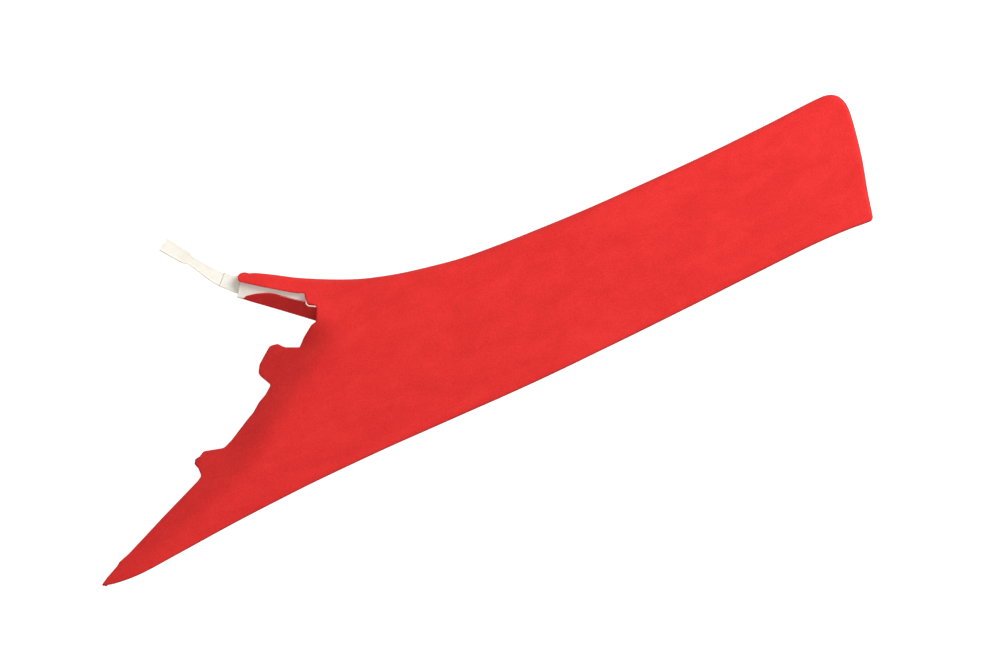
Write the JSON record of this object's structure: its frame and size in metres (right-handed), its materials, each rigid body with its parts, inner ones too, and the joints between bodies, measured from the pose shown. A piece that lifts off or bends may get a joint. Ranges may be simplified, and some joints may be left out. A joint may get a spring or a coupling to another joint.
{
  "type": "windscreen pillar trim panel",
  "caption": "Suede-wrapped windscreen pillar trim with a slotted leg, tucking tabs, push clips and a flexible nylon tether.",
  "frame": {"origin": "centre of the bounding box in X and Y, at the level of the felt feet's undersides", "axes": "+X along the panel from its pointed dashboard end to its roof end, +Y across it towards the windscreen, +Z out of the visible suede face"},
  "size_m": [0.778, 0.2604, 0.0359],
  "materials": {
    "suede_red": "napped suede",
    "carrier_beige": "fine moulded grain",
    "rib_natural": "as moulded",
    "tower_grey": "as moulded",
    "clip_white": "as moulded nylon",
    "seal_rubber": "foam rubber",
    "foam_grey": "open foam",
    "felt_black": "needled felt",
    "nylon_ivory": "satin translucent nylon",
    "rivet_black": "satin"
  },
  "bodies": {
    "carrier": {"suede_cover": "suede_red", "leg_flange_wrap": "suede_red", "carrier_shell": "carrier_beige", "upper_impact_ribs": "rib_natural", "lower_impact_ribs": "rib_natural", "clip_tower_upper": "tower_grey", "clip_tower_middle": "tower_grey", "clip_tower_lower": "tower_grey", "locator_pin": "tower_grey", "locator_blade": "tower_grey", "foam_block": "foam_grey", "felt_strip_flange": "felt_black", "felt_pad_tip": "felt_black", "felt_pad_leg": "felt_black", "felt_pad_end_low": "felt_black", "felt_pad_end_high": "felt_black", "tether_anchor": "nylon_ivory", "tether_rivet": "rivet_black"},
    "clip_upper": {"clip_upper": "clip_white", "seal_upper": "seal_rubber"},
    "clip_middle": {"clip_middle": "clip_white", "seal_middle": "seal_rubber"},
    "clip_lower": {"clip_lower": "clip_white", "seal_lower": "seal_rubber"},
    "tether_link": {"tether_link": "nylon_ivory"},
    "tether_paddle": {"tether_paddle": "nylon_ivory"}
  },
  "joints": [
    {"name": "clip_upper_float", "type": "slide", "parent": "carrier", "child": "clip_upper", "axis": [1, 0, 0], "range_m": [-0.0015, 0.0015]},
    {"name": "clip_middle_float", "type": "slide", "parent": "carrier", "child": "clip_middle", "axis": [1, 0, 0], "range_m": [-0.0015, 0.0015]},
    {"name": "clip_lower_float", "type": "slide", "parent": "carrier", "child": "clip_lower", "axis": [1, 0, 0], "range_m": [-0.0015, 0.0015]},
    {"name": "tether_root_flex", "type": "hinge", "parent": "carrier", "child": "tether_link", "pos_m": [-0.16346, 0.065, 0.00864], "axis": [0.7121, 0.7021, 0], "range_deg": [-45, 35], "stiffness_Nm_per_rad": 0.02},
    {"name": "tether_paddle_flex", "type": "hinge", "parent": "tether_link", "child": "tether_paddle", "pos_m": [-0.19161, 0.10243, 0.00499], "axis": [0.8412, 0.5408, 0], "range_deg": [-60, 60], "stiffness_Nm_per_rad": 0.01}
  ]
}
